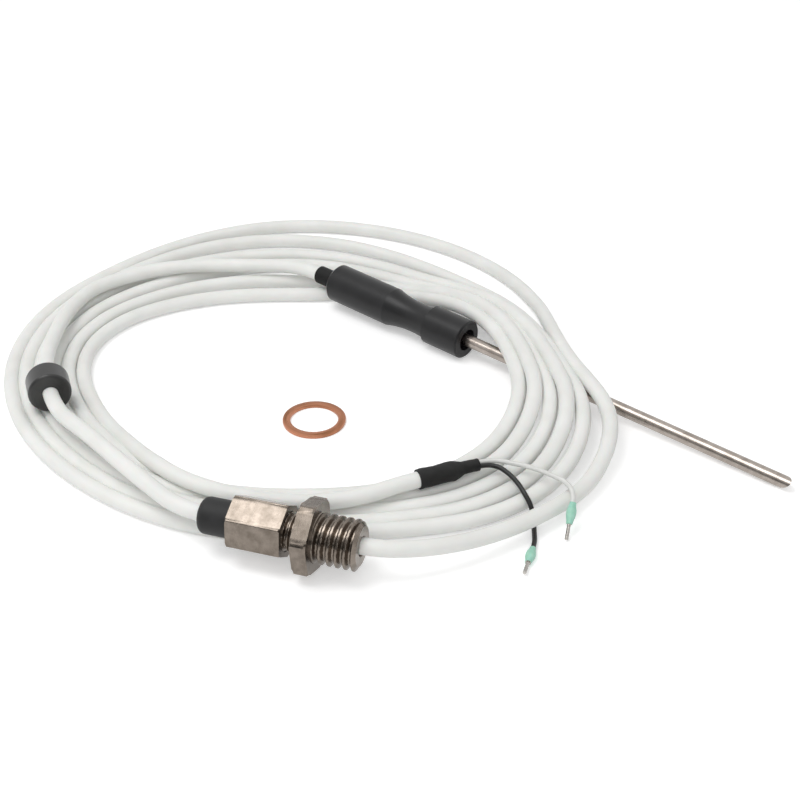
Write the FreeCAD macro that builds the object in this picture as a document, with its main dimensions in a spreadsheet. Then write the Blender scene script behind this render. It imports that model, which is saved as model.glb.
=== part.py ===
import FreeCAD
import Part
import Sketcher

import math
import os
import re

# Meat probe for an oven: a hollow steel spike in a waisted grip, a long round cable laid in a flat
# coil, a threaded gland that carries the cable through the oven wall, its loose sealing washer, and
# two thin leads with crimped ferrules.
# Frame: +X runs along the spike to its point, +Z is up, and the spike, gland and coil lie on Z = 0.

SIZES = {
    # Spike, placed by the middle of the grip's front face
    "probe_x": -26.5,
    "probe_y": 61.6,
    "spike_diameter": 4.0,
    "spike_wall": 0.5,
    "spike_reach": 118.0,
    "spike_seat": 20.0,
    "tip_bevel": 5.5,
    "tip_roll": 40.0,
    "tip_web": 1.2,
    "sensor_length": 12.0,
    # Grip
    "grip_diameter": 13.0,
    "grip_length": 57.5,
    "grip_edge": 1.6,
    "waist_diameter": 10.2,
    "waist_middle": 21.0,
    "waist_radius": 40.0,
    "barrel_length": 14.5,
    "barrel_edge": 0.5,
    "mouth_diameter": 7.4,
    "mouth_depth": 2.4,
    "room_diameter": 7.0,
    "room_length": 16.0,
    "sleeve_diameter": 6.2,
    "sleeve_seat": 7.5,
    "sleeve_reach": 7.5,
    "sleeve_edge": 0.6,
    "sleeve_exit": 4.0,
    # Cable, its two conductors and the two crimped joints inside the grip
    "cord_diameter": 4.8,
    "cord_grip": 5.0,
    "jacket_stub": 2.0,
    "core_diameter": 1.0,
    "core_spacing": 1.7,
    "core_reach": 3.0,
    "wire_diameter": 0.6,
    "splice_diameter": 1.5,
    "splice_length": 7.0,
    "splice_bite": 2.0,
    # Gland
    "boot_diameter": 10.4,
    "boot_length": 9.6,
    "boot_edge": 2.0,
    "boot_stem": 9.0,
    "boot_collar": 1.5,
    "boot_exit": 8.0,
    "cap_flats": 14.0,
    "cap_length": 15.5,
    "cap_end_wall": 3.0,
    "stub_diameter": 11.0,
    "stub_engagement": 7.4,
    "neck_gap": 3.7,
    "flange_flats": 19.0,
    "flange_thickness": 4.8,
    "flange_roll": 9.0,
    "corner_slope": 30.0,
    "stud_diameter": 14.0,
    "stud_length": 12.4,
    "stud_exit": 7.0,
    "stud_edge": 1.0,
    "collar_diameter": 10.4,
    "thrust_thickness": 2.0,
    "seal_diameter": 8.4,
    "seal_length": 5.0,
    "gland_x": -22.0,
    "gland_y": -63.6,
    "gland_turn": 21.5,
    # Sealing washer
    "washer_outer": 19.6,
    "washer_inner": 14.8,
    "washer_thickness": 1.2,
    "washer_x": -39.8,
    "washer_y": 1.2,
    # Cable coil
    "coil_outer_radius": 95.0,
    "coil_outer_x": -68.7,
    "coil_outer_y": 21.6,
    "coil_side_radius": 79.5,
    "coil_side_x": -45.5,
    "coil_side_y": 22.8,
    "coil_inner_radius": 62.5,
    "coil_inner_x": -54.2,
    "coil_inner_y": 10.8,
    "coil_height": 4.8,
    "coil_edge": 1.4,
    # Cable stop
    "stop_diameter": 13.2,
    "stop_length": 8.6,
    "stop_edge": 1.0,
    "stop_x": -103.4,
    "stop_y": -49.2,
    "stop_turn": -33.0,
    "stop_straight": 13.0,
    # Splitter sleeve
    "splitter_diameter": 5.8,
    "splitter_neck": 3.8,
    "splitter_length": 18.9,
    "splitter_shoulder": 11.0,
    "splitter_taper": 3.0,
    "splitter_x": 11.4,
    "splitter_y": -11.5,
    "splitter_z": 8.4,
    "splitter_turn": 62.5,
    # Leads and ferrules
    "lead_diameter": 1.45,
    "lead_spacing": 1.85,
    "lead_seat": 2.0,
    "lead_exit": 1.7,
    "lead_approach": 2.7,
    "ferrule_collar": 2.7,
    "ferrule_throat": 2.0,
    "ferrule_collar_length": 6.4,
    "ferrule_root": 1.6,
    "ferrule_pin": 1.1,
    "ferrule_pin_length": 4.5,
    "ferrule_bite": 1.5,
    "black_x": 49.7,
    "black_y": -8.9,
    "black_turn": -67.0,
    "white_x": 50.7,
    "white_y": 8.6,
    "white_z": 7.3,
    "white_turn": -65.8,
    "white_dip": 36.6,
    # Clearances
    "bond_gap": 0.03,
    "running_gap": 0.06,
    "cable_gap": 0.25,
    "lay_gap": 0.4,
}

# How far a cutting profile stands past the faces that it cuts through
OVERCUT = 1.0

# Middle stretches of the cable's free runs, chosen by hand along the cable as it lies
GRIP_RUN = [
    (-104.5, 59.6, 8.6), (-113.8, 54.2, 7.9), (-122.9, 47.4, 7.7), (-131.8, 40.2, 7.6), (-139.4, 31.2, 7.5),
    (-144.4, 19.6, 7.5), (-147.0, 7.0, 7.6), (-143.6, -5.0, 7.9), (-136.4, -16.6, 8.9), (-127.0, -28.6, 10.2),
]
BOOT_RUN = [(-76.0, -59.2, 11.9), (-61.0, -62.4, 12.1), (-44.5, -65.2, 12.0)]
STUD_RUN = [
    (35.3, -37.3, 9.2), (41.0, -26.8, 7.0), (44.2, -14.8, 5.6), (46.4, -2.6, 4.9), (47.6, 9.4, 3.6),
    (47.0, 21.9, 3.2), (43.2, 34.6, 5.6), (37.4, 46.2, 9.8), (29.4, 56.4, 13.6), (19.6, 65.2, 13.6),
    (9.2, 73.0, 9.6), (-2.0, 80.4, 5.4), (-14.0, 86.6, 3.0),
]
SPLIT_RUN = [(1.8, -23.6, 7.8), (-7.2, -32.2, 5.6), (-17.6, -39.0, 3.9), (-29.0, -43.6, 2.8)]
BLACK_RUN = [
    (24.9, 8.5, 8.1), (28.9, 8.5, 7.7), (33.0, 7.4, 6.2), (36.2, 6.8, 3.8), (39.8, 4.8, 1.7), (44.8, -1.0, 0.9),
]
WHITE_RUN = [
    (23.4, 9.9, 8.8), (27.7, 11.4, 8.9), (32.2, 12.4, 9.3), (36.9, 12.6, 9.7), (41.5, 12.3, 10.1), (45.6, 12.2, 10.2),
]

doc = FreeCAD.newDocument("MeatProbe")
sheet = doc.addObject("Spreadsheet::Sheet", "Sizes")
for row_number, (alias, number) in enumerate(SIZES.items(), start=1):
    sheet.set(f"A{row_number}", alias)
    sheet.set(f"B{row_number}", str(number))
    sheet.setAlias(f"B{row_number}", alias)
doc.recompute()


def size(alias):
    """Number that the sheet holds under an alias."""
    return float(sheet.get(alias))


def sized(text):
    """Expression in which each alias points at its cell of the sheet."""
    return re.sub(r"[a-z_]+", lambda word: f"Sizes.{word[0]}" if word[0] in SIZES else word[0], text)


def number(text):
    """Value of an expression of the sheet's sizes."""
    return float(sheet.evalExpression(sized(text)))


def bind(item, prop, text):
    """Tie a property to an expression of the sheet's sizes."""
    item.setExpression(prop, sized(text))


# Helpers for sketches and features


def new_body(label):
    body = doc.addObject("PartDesign::Body", label)
    body.Label = label
    return body


def new_sketch(body, name, role):
    """Sketch on one of the body's own origin planes."""
    sketch = body.newObject("Sketcher::SketchObject", name)
    plane = next(item for item in body.Origin.OriginFeatures if item.Role == role)
    sketch.AttachmentSupport = [(plane, "")]
    sketch.MapMode = "FlatFace"
    return sketch


def pin_point(sketch, geometry, vertex, across, up):
    """Fix a vertex at two expressions, each measured from the sketch's origin."""
    axes = (("DistanceX", across, -2, "across"), ("DistanceY", up, -1, "up"))
    for kind, text, axis, tag in axes:
        if text == "0":
            sketch.addConstraint(Sketcher.Constraint("PointOnObject", geometry, vertex, axis))
            continue
        start = number(text)
        index = sketch.addConstraint(Sketcher.Constraint(kind, -1, 1, geometry, vertex, start))
        name = f"{tag}_of_{geometry}"
        sketch.renameConstraint(index, name)
        bind(sketch, f"Constraints.{name}", text)


def draw_outline(sketch, corners):
    """Closed outline through corners, each a pair of expressions."""
    places = [
        FreeCAD.Vector(*(number(text) for text in corner), 0) for corner in corners
    ]
    count = len(places)
    for index, place in enumerate(places):
        sketch.addGeometry(Part.LineSegment(place, places[(index + 1) % count]))
    for index in range(count):
        sketch.addConstraint(Sketcher.Constraint("Coincident", index, 2, (index + 1) % count, 1))
    for index, (across, up) in enumerate(corners):
        pin_point(sketch, index, 1, across, up)


def draw_circle(sketch, across, up, radius):
    """Circle whose middle and radius are expressions."""
    start = [number(text) for text in (across, up, radius)]
    middle = FreeCAD.Vector(start[0], start[1], 0)
    index = sketch.addGeometry(Part.Circle(middle, FreeCAD.Vector(0, 0, 1), start[2]))
    pin_point(sketch, index, 3, across, up)
    constraint = sketch.addConstraint(Sketcher.Constraint("Radius", index, start[2]))
    name = f"radius_of_{index}"
    sketch.renameConstraint(constraint, name)
    bind(sketch, f"Constraints.{name}", radius)


def draw_hexagon(sketch, flats):
    """Regular hexagon round the origin with one corner straight up."""
    corner_radius = number(f"{flats} / sqrt(3)")
    spots = [
        FreeCAD.Vector(-corner_radius * math.sin(math.pi / 3 * k), corner_radius * math.cos(math.pi / 3 * k), 0)
        for k in range(6)
    ]
    for k in range(6):
        sketch.addGeometry(Part.LineSegment(spots[k], spots[(k + 1) % 6]))
    ring = sketch.addGeometry(Part.Circle(FreeCAD.Vector(), FreeCAD.Vector(0, 0, 1), corner_radius), True)
    sketch.addConstraint(Sketcher.Constraint("Coincident", ring, 3, -1, 1))
    for k in range(6):
        sketch.addConstraint(Sketcher.Constraint("Coincident", k, 2, (k + 1) % 6, 1))
        sketch.addConstraint(Sketcher.Constraint("PointOnObject", k, 1, ring))
    for k in range(1, 6):
        sketch.addConstraint(Sketcher.Constraint("Equal", 0, k))
    sketch.addConstraint(Sketcher.Constraint("PointOnObject", 0, 1, -2))
    radius = sketch.addConstraint(Sketcher.Constraint("Radius", ring, corner_radius))
    sketch.renameConstraint(radius, "corner_radius")
    bind(sketch, "Constraints.corner_radius", f"{flats} / sqrt(3)")


def turn(body, kind, name, corners):
    """Revolution or Groove of an outline, round the body's X axis."""
    sketch = new_sketch(body, f"{name}_outline", "XY_Plane")
    draw_outline(sketch, corners)
    feature = body.newObject(f"PartDesign::{kind}", name)
    feature.Profile = sketch
    feature.ReferenceAxis = (sketch, ["H_Axis"])
    feature.Angle = 360.0
    return feature


def extrude(body, kind, name, sketch, length):
    """Pad or Pocket of a sketch by an expression, or right through to both sides."""
    feature = body.newObject(f"PartDesign::{kind}", name)
    feature.Profile = sketch
    if length is None:
        feature.SideType = "Symmetric"
        feature.Type = "ThroughAll"
    else:
        feature.Type = "Length"
        bind(feature, "Length", length)
    return feature


def hexagon_pad(body, name, flats, start, length, roll):
    """Hexagonal bar round the X axis between two places along it."""
    sketch = new_sketch(body, f"{name}_hexagon", "YZ_Plane")
    bind(sketch, "AttachmentOffset.Base.z", start)
    sketch.AttachmentOffset = FreeCAD.Placement(
        FreeCAD.Vector(0, 0, number(start)),
        FreeCAD.Rotation(FreeCAD.Vector(0, 0, 1), roll),
    )
    draw_hexagon(sketch, flats)
    return extrude(body, "Pad", name, sketch, length)


def bevel_hexagon(body, name, flats, face, inward):
    """Turn the corners of a hexagonal bar off to a cone at one end face; inward is + or -."""
    flat = f"{flats} / 2"
    corner = f"{flats} / sqrt(3) + {OVERCUT}"
    fall = f"({flats} / sqrt(3) + {OVERCUT} - {flats} / 2) * tan(corner_slope)"
    return turn(body, "Groove", name, [(face, flat), (face, corner), (f"{face} {inward} {fall}", corner)])


def finish_edges(body, kind, name, base, amount, wanted):
    """Fillet or Chamfer the edges of a feature that a test picks."""
    doc.recompute()
    edges = [f"Edge{k}" for k, edge in enumerate(base.Shape.Edges, start=1) if wanted(edge)]
    if not edges:
        raise RuntimeError(f"{name} finds no edge")
    feature = body.newObject(f"PartDesign::{kind}", name)
    feature.Base = (base, edges)
    bind(feature, "Radius" if kind == "Fillet" else "Size", amount)
    return feature


def ring_edge(along, radius):
    """Test for a round edge of one radius at one place along X."""
    def wanted(edge):
        if not isinstance(edge.Curve, Part.Circle):
            return False
        near = abs(edge.Curve.Center.x - along) < 0.01
        return near and abs(edge.Curve.Radius - radius) < 0.01
    return wanted


# Frames that the sub-assemblies share


def frame_at(place, yaw, pitch=0.0):
    return FreeCAD.Placement(FreeCAD.Vector(*place), FreeCAD.Rotation(yaw, pitch, 0.0))


def probe_frame():
    """Middle of the grip's front face; the grip's rim and the spike's end both touch the floor."""
    grip_radius = size("grip_diameter") / 2
    drop = grip_radius - size("spike_diameter") / 2
    tilt = math.atan2(drop, size("spike_reach"))
    place = (size("probe_x"), size("probe_y"), grip_radius * math.cos(tilt))
    return frame_at(place, 0.0, math.degrees(tilt))


def gland_frame():
    """Outer end of the boot, at the height where the lowest flange corner touches the floor."""
    corner_radius = size("flange_flats") / math.sqrt(3)
    height = corner_radius * math.cos(math.radians(size("flange_roll")))
    return frame_at((size("gland_x"), size("gland_y"), height), size("gland_turn"))


def stop_frame():
    """Middle of the cable stop, which lies on top of the coil."""
    height = size("coil_height") + size("lay_gap") + size("stop_diameter") / 2
    return frame_at((size("stop_x"), size("stop_y"), height), size("stop_turn"))


def splitter_frame():
    place = (size("splitter_x"), size("splitter_y"), size("splitter_z"))
    return frame_at(place, size("splitter_turn"))


def ferrule_frame(colour):
    """Mouth of a ferrule collar; the black one lies on the floor and the white one dips to it."""
    if colour == "black":
        height, dip = size("ferrule_collar") / 2, 0.0
    else:
        height, dip = size("white_z"), size("white_dip")
    return frame_at((size(f"{colour}_x"), size(f"{colour}_y"), height), size(f"{colour}_turn"), dip)


PROBE = probe_frame()
GLAND = gland_frame()
STOP = stop_frame()
SPLITTER = splitter_frame()
FERRULES = {colour: ferrule_frame(colour) for colour in ("black", "white")}


def on_axis(frame, along, side=0.0):
    """Point of a frame's X axis, or beside it, in the part's own frame."""
    return frame.multVec(FreeCAD.Vector(along, side, 0))


# Simple round pieces along X


def rod(name, radius, start, length, side="0"):
    """Plain cylinder along X from one place, beside the axis by an expression."""
    cylinder = doc.addObject("Part::Cylinder", name)
    bind(cylinder, "Radius", radius)
    bind(cylinder, "Height", length)
    cylinder.Placement = FreeCAD.Placement(
        FreeCAD.Vector(number(start), number(side), 0), FreeCAD.Rotation(FreeCAD.Vector(0, 1, 0), 90)
    )
    return cylinder


def rod_pair(label, radius, start, length):
    """Two equal cylinders, one on each conductor's line."""
    pair = doc.addObject("Part::MultiFuse", label)
    pair.Shapes = [
        rod(f"{label}_{k}", radius, start, length, f"{sign}core_spacing / 2") for k, sign in enumerate(("", "-"))
    ]
    return pair


def tube(body, inner, outer, start, end):
    """Revolved ring between two places along X."""
    corners = [(start, inner), (start, outer), (end, outer), (end, inner)]
    return turn(body, "Revolution", f"{body.Name}_ring", corners)


parts = {}


def keep(label, item, frame):
    """List a finished sub-part and put it in its place."""
    item.Label = label
    item.Placement = frame.multiply(item.Placement)
    parts[label] = item


# Spike, its sensor and the joints inside the grip

TIP_FLOOR = "spike_reach - tip_bevel - tip_web"
SPIKE_BORE = "spike_diameter / 2 - spike_wall"


def make_spike():
    body = new_body("probe_tube")
    turn(body, "Revolution", "spike_wall_ring", [
        ("-spike_seat", SPIKE_BORE),
        ("-spike_seat", "spike_diameter / 2"),
        ("spike_reach", "spike_diameter / 2"),
        ("spike_reach", "0"),
        (TIP_FLOOR, "0"),
        (TIP_FLOOR, SPIKE_BORE),
    ])
    sketch = new_sketch(body, "tip_bevel_outline", "XZ_Plane")
    sketch.AttachmentOffset = FreeCAD.Placement(
        FreeCAD.Vector(), FreeCAD.Rotation(FreeCAD.Vector(1, 0, 0), size("tip_roll"))
    )
    # The bevel runs from the lower wall to the point; its outline goes on past both by a quarter
    draw_outline(sketch, [
        ("spike_reach - 1.25 * tip_bevel", "-0.75 * spike_diameter"),
        ("spike_reach + 0.25 * tip_bevel", "-0.75 * spike_diameter"),
        ("spike_reach + 0.25 * tip_bevel", "0.75 * spike_diameter"),
    ])
    extrude(body, "Pocket", "tip_bevel_cut", sketch, None)
    keep("probe_tube", body, PROBE)

    sensor = rod("sensor_element", f"{SPIKE_BORE} - bond_gap", f"{TIP_FLOOR} - sensor_length", "sensor_length")
    keep("sensor_element", sensor, PROBE)


ROOM_END = "spike_seat + room_length"
JACKET_END = f"{ROOM_END} - jacket_stub"
SPLICE_REAR = f"{JACKET_END} - core_reach + splice_bite"
SPLICE_FRONT = f"{SPLICE_REAR} - splice_length"


def make_conductors():
    cores = rod_pair("cable_cores", "core_diameter / 2", f"-({JACKET_END})", "core_reach")
    wire_start = f"-({SPLICE_FRONT} + splice_bite)"
    wire_end = f"{TIP_FLOOR} - sensor_length"
    leads = rod_pair("sensor_leads", "wire_diameter / 2", wire_start, f"{wire_end} - ({wire_start})")

    sleeves = rod_pair("splice_sleeves", "splice_diameter / 2", f"-({SPLICE_REAR})", "splice_length")
    core_bores = rod_pair("splice_core_bores", "core_diameter / 2", f"-({SPLICE_REAR})", "splice_bite")
    wire_bores = rod_pair("splice_wire_bores", "wire_diameter / 2", wire_start, "splice_bite")
    bores = doc.addObject("Part::MultiFuse", "splice_bores")
    bores.Shapes = [core_bores, wire_bores]
    splices = doc.addObject("Part::Cut", "lead_splices")
    splices.Base = sleeves
    splices.Tool = bores

    keep("cable_cores", cores, PROBE)
    keep("sensor_leads", leads, PROBE)
    keep("lead_splices", splices, PROBE)


# Grip and the sleeve at its cable end


def make_grip():
    body = new_body("handle_grip")
    turn(body, "Revolution", "grip_bar", [
        ("0", "0"),
        ("0", "grip_diameter / 2 - barrel_edge"),
        ("-barrel_edge", "grip_diameter / 2"),
        ("-grip_length + grip_edge", "grip_diameter / 2"),
        ("-grip_length", "grip_diameter / 2 - grip_edge"),
        ("-grip_length", "0"),
    ])
    waist = new_sketch(body, "waist_circle", "XY_Plane")
    draw_circle(waist, "-waist_middle", "waist_diameter / 2 + waist_radius", "waist_radius")
    groove = body.newObject("PartDesign::Groove", "waist_groove")
    groove.Profile = waist
    groove.ReferenceAxis = (waist, ["H_Axis"])
    groove.Angle = 360.0
    # The front barrel keeps its full round, so the waist ends at a step behind it
    turn(body, "Revolution", "front_barrel", [
        ("0", "0"),
        ("0", "grip_diameter / 2 - barrel_edge"),
        ("-barrel_edge", "grip_diameter / 2"),
        ("-barrel_length", "grip_diameter / 2"),
        ("-barrel_length", "0"),
    ])
    turn(body, "Groove", "grip_bores", [
        (f"{OVERCUT}", "0"),
        (f"{OVERCUT}", "mouth_diameter / 2"),
        ("-mouth_depth", "mouth_diameter / 2"),
        ("-mouth_depth", "spike_diameter / 2 + bond_gap"),
        ("-spike_seat", "spike_diameter / 2 + bond_gap"),
        ("-spike_seat", "room_diameter / 2"),
        (f"-({ROOM_END})", "room_diameter / 2"),
        (f"-({ROOM_END})", "cord_diameter / 2 + bond_gap"),
        ("-grip_length + sleeve_seat", "cord_diameter / 2 + bond_gap"),
        ("-grip_length + sleeve_seat", "sleeve_diameter / 2 + bond_gap"),
        (f"-grip_length - {OVERCUT}", "sleeve_diameter / 2 + bond_gap"),
        (f"-grip_length - {OVERCUT}", "0"),
    ])
    keep("handle_grip", body, PROBE)

    sleeve = new_body("handle_sleeve")
    ring = tube(sleeve, "cord_diameter / 2", "sleeve_diameter / 2",
                "-grip_length - sleeve_reach", "-grip_length + sleeve_seat")
    rear = ring_edge(-size("grip_length") - size("sleeve_reach"), size("sleeve_diameter") / 2)
    finish_edges(sleeve, "Fillet", "sleeve_rounding", ring, "sleeve_edge", rear)
    keep("handle_sleeve", sleeve, PROBE)

    inner_cable = rod("cable_in_handle", "cord_diameter / 2", "-grip_length - sleeve_reach + cord_grip",
                      f"grip_length + sleeve_reach - cord_grip - ({JACKET_END})")
    keep("cable_in_handle", inner_cable, PROBE)


# Gland, from the boot's outer end along its axis

CAP_START = "(boot_length + running_gap)"
CAP_END = f"({CAP_START} + cap_length)"
CAP_FLOOR = f"({CAP_START} + cap_end_wall)"
COLLAR_START = f"({CAP_FLOOR} + running_gap)"
THRUST_START = f"({COLLAR_START} + boot_collar)"
SEAL_START = f"({THRUST_START} + thrust_thickness)"
SEAL_END = f"({SEAL_START} + seal_length)"
STUB_START = f"({CAP_END} - stub_engagement)"
FLANGE_START = f"({CAP_END} + neck_gap)"
FLANGE_END = f"({FLANGE_START} + flange_thickness)"
STUD_END = f"({FLANGE_END} + stud_length)"


def make_gland_body():
    body = new_body("gland_body")
    hexagon_pad(body, "flange", "flange_flats", FLANGE_START, "flange_thickness", size("flange_roll"))
    bevel_hexagon(body, "flange_near_bevel", "flange_flats", FLANGE_START, "+")
    bevel_hexagon(body, "flange_far_bevel", "flange_flats", FLANGE_END, "-")
    turn(body, "Revolution", "stub_and_stud", [
        (STUB_START, "0"),
        (STUB_START, "stub_diameter / 2"),
        (FLANGE_START, "stub_diameter / 2"),
        (FLANGE_START, "stud_diameter / 2"),
        (f"{STUD_END} - stud_edge", "stud_diameter / 2"),
        (STUD_END, "stud_diameter / 2 - stud_edge"),
        (STUD_END, "0"),
    ])
    turn(body, "Groove", "cable_bore", [
        (f"{STUB_START} - {OVERCUT}", "0"),
        (f"{STUB_START} - {OVERCUT}", "seal_diameter / 2 + bond_gap"),
        (SEAL_END, "seal_diameter / 2 + bond_gap"),
        (SEAL_END, "cord_diameter / 2 + cable_gap"),
        (f"{STUD_END} + {OVERCUT}", "cord_diameter / 2 + cable_gap"),
        (f"{STUD_END} + {OVERCUT}", "0"),
    ])
    keep("gland_body", body, GLAND)


def make_clamp_cap():
    body = new_body("clamp_cap")
    hexagon_pad(body, "cap_bar", "cap_flats", CAP_START, "cap_length", 0.0)
    bevel_hexagon(body, "cap_near_bevel", "cap_flats", CAP_START, "+")
    bevel_hexagon(body, "cap_far_bevel", "cap_flats", CAP_END, "-")
    turn(body, "Groove", "cap_bore", [
        (f"{CAP_START} - {OVERCUT}", "0"),
        (f"{CAP_START} - {OVERCUT}", "boot_stem / 2 + running_gap"),
        (CAP_FLOOR, "boot_stem / 2 + running_gap"),
        (CAP_FLOOR, "stub_diameter / 2 + running_gap"),
        (f"{CAP_END} + {OVERCUT}", "stub_diameter / 2 + running_gap"),
        (f"{CAP_END} + {OVERCUT}", "0"),
    ])
    keep("clamp_cap", body, GLAND)


def make_gland_inside():
    boot = new_body("fitting_boot")
    plug = turn(boot, "Revolution", "boot_turned", [
        ("0", "cord_diameter / 2"),
        ("0", "boot_diameter / 2"),
        ("boot_length", "boot_diameter / 2"),
        ("boot_length", "boot_stem / 2"),
        (COLLAR_START, "boot_stem / 2"),
        (COLLAR_START, "collar_diameter / 2"),
        (THRUST_START, "collar_diameter / 2"),
        (THRUST_START, "cord_diameter / 2"),
    ])
    finish_edges(boot, "Fillet", "boot_rounding", plug, "boot_edge", ring_edge(0.0, size("boot_diameter") / 2))
    keep("fitting_boot", boot, GLAND)

    thrust = new_body("thrust_ring")
    tube(thrust, "cord_diameter / 2 + bond_gap", "collar_diameter / 2", THRUST_START, SEAL_START)
    keep("thrust_ring", thrust, GLAND)

    seal = new_body("cable_seal")
    tube(seal, "cord_diameter / 2", "seal_diameter / 2", SEAL_START, SEAL_END)
    keep("cable_seal", seal, GLAND)

    inner_cable = rod("cable_in_fitting", "cord_diameter / 2", "cord_grip", f"{STUD_END} - 2 * cord_grip")
    keep("cable_in_fitting", inner_cable, GLAND)


def make_washer():
    body = new_body("sealing_washer")
    sketch = new_sketch(body, "washer_circles", "XY_Plane")
    draw_circle(sketch, "0", "0", "washer_outer / 2")
    draw_circle(sketch, "0", "0", "washer_inner / 2")
    extrude(body, "Pad", "washer_plate", sketch, "washer_thickness")
    keep("sealing_washer", body, frame_at((size("washer_x"), size("washer_y"), 0.0), 0.0))


# Coil: one flat ring with eccentric rims, with room cut for what lies in and on it


def make_coil():
    """The turns as one flat ring, which bulges on the side of the leads, where they lie looser."""
    body = new_body("coil_ring")
    for part in ("outer", "side"):
        sketch = new_sketch(body, f"coil_{part}_circle", "XY_Plane")
        draw_circle(sketch, f"coil_{part}_x", f"coil_{part}_y", f"coil_{part}_radius")
        extrude(body, "Pad", f"coil_{part}_plate", sketch, "coil_height")
    sketch = new_sketch(body, "coil_inner_circle", "XY_Plane")
    draw_circle(sketch, "coil_inner_x", "coil_inner_y", "coil_inner_radius")
    ring = extrude(body, "Pocket", "coil_hole", sketch, None)
    finish_edges(body, "Chamfer", "coil_bevel", ring, "coil_edge", lambda edge: isinstance(edge.Curve, Part.Circle))

    cut = doc.addObject("Part::Cut", "cable_coil")
    cut.Base = body
    cut.Tool = make_lay_room()
    keep("cable_coil", cut, FreeCAD.Placement())


def make_lay_room():
    """Room for the grip, the spike down to the floor and the gland."""
    grip = rod("grip_room", "grip_diameter / 2 + lay_gap", "-grip_length - sleeve_reach - lay_gap",
               "grip_length + sleeve_reach + 2 * lay_gap")
    grip.Placement = PROBE.multiply(grip.Placement)
    spike = doc.addObject("Part::Box", "spike_room")
    bind(spike, "Length", "spike_reach + lay_gap")
    bind(spike, "Width", "spike_diameter + 2 * lay_gap")
    bind(spike, "Height", "grip_diameter + spike_diameter / 2 + lay_gap")
    spike.Placement = PROBE.multiply(FreeCAD.Placement(
        FreeCAD.Vector(0, -size("spike_diameter") / 2 - size("lay_gap"), -size("grip_diameter")), FreeCAD.Rotation()
    ))
    gland = rod("gland_room", "flange_flats / sqrt(3) + lay_gap", "-lay_gap", f"{STUD_END} + 2 * lay_gap")
    gland.Placement = GLAND.multiply(gland.Placement)

    room = doc.addObject("Part::MultiFuse", "lay_room")
    room.Shapes = [grip, spike, gland]
    return room


def make_stop():
    body = new_body("cable_stop")
    ring = tube(body, "cord_diameter / 2 + bond_gap", "stop_diameter / 2", "-stop_length / 2", "stop_length / 2")
    radius = size("stop_diameter") / 2
    ends = [ring_edge(sign * size("stop_length") / 2, radius) for sign in (-1, 1)]
    finish_edges(body, "Fillet", "stop_rounding", ring, "stop_edge", lambda edge: any(end(edge) for end in ends))
    keep("cable_stop", body, STOP)


# Splitter sleeve and the two ferrules


def make_splitter():
    body = new_body("splitter_sleeve")
    turn(body, "Revolution", "splitter_turned", [
        ("0", "0"),
        ("0", "splitter_diameter / 2"),
        ("splitter_shoulder", "splitter_diameter / 2"),
        ("splitter_shoulder + splitter_taper", "splitter_neck / 2"),
        ("splitter_length", "splitter_neck / 2"),
        ("splitter_length", "0"),
    ])
    turn(body, "Groove", "splitter_socket", [
        (f"-{OVERCUT}", "0"),
        (f"-{OVERCUT}", "cord_diameter / 2"),
        ("cord_grip", "cord_diameter / 2"),
        ("cord_grip", "0"),
    ])
    holes = new_sketch(body, "lead_circles", "YZ_Plane")
    holes.AttachmentOffset = FreeCAD.Placement(FreeCAD.Vector(0, 0, size("splitter_length")), FreeCAD.Rotation())
    bind(holes, "AttachmentOffset.Base.z", "splitter_length")
    for sign in ("", "-"):
        draw_circle(holes, f"{sign}lead_spacing / 2", "0", "lead_diameter / 2")
    extrude(body, "Pocket", "lead_sockets", holes, "lead_seat")
    keep("splitter_sleeve", body, SPLITTER)


def make_ferrule(colour):
    collar = new_body(f"{colour}_ferrule_collar")
    turn(collar, "Revolution", f"{colour}_collar_turned", [
        ("0", "lead_diameter / 2"),
        ("0", "ferrule_collar / 2"),
        ("ferrule_collar_length / 2", "ferrule_collar / 2"),
        ("ferrule_collar_length", "ferrule_throat / 2"),
        ("ferrule_collar_length", "ferrule_root / 2"),
        ("ferrule_bite", "ferrule_root / 2"),
        ("ferrule_bite", "lead_diameter / 2"),
    ])
    keep(f"{colour}_ferrule_collar", collar, FERRULES[colour])
    pin = new_body(f"{colour}_ferrule_pin")
    turn(pin, "Revolution", f"{colour}_pin_turned", [
        ("ferrule_bite", "0"),
        ("ferrule_bite", "ferrule_root / 2"),
        ("ferrule_collar_length", "ferrule_root / 2"),
        ("ferrule_collar_length", "ferrule_pin / 2"),
        ("ferrule_collar_length + ferrule_pin_length", "ferrule_pin / 2"),
        ("ferrule_collar_length + ferrule_pin_length", "0"),
    ])
    keep(f"{colour}_ferrule_pin", pin, FERRULES[colour])


# Free runs of the cable and of the leads: straight runs joined by the largest arcs that fit


def route_wire(label, points):
    """Path through points, with an arc at each inner one."""
    spots = [FreeCAD.Vector(*point) for point in points]
    lengths = [start.distanceToPoint(end) for start, end in zip(spots, spots[1:])]
    headings = [(end - start).normalize() for start, end in zip(spots, spots[1:])]
    edges = []
    radii = []
    last = spots[0]
    for k, spot in enumerate(spots[1:-1]):
        before, after = headings[k], headings[k + 1]
        reach = 0.45 * min(lengths[k], lengths[k + 1])
        half_turn = before.getAngle(after) / 2
        radius = reach / math.tan(half_turn)
        inward = (after - before).normalize()
        start = spot - before * reach
        end = spot + after * reach
        middle = spot + inward * (radius / math.cos(half_turn) - radius)
        edges.append(Part.LineSegment(last, start).toShape())
        edges.append(Part.Arc(start, middle, end).toShape())
        radii.append(round(radius, 1))
        last = end
    edges.append(Part.LineSegment(last, spots[-1]).toShape())
    print(label, "radii", radii)
    return Part.Wire(edges)


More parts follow.
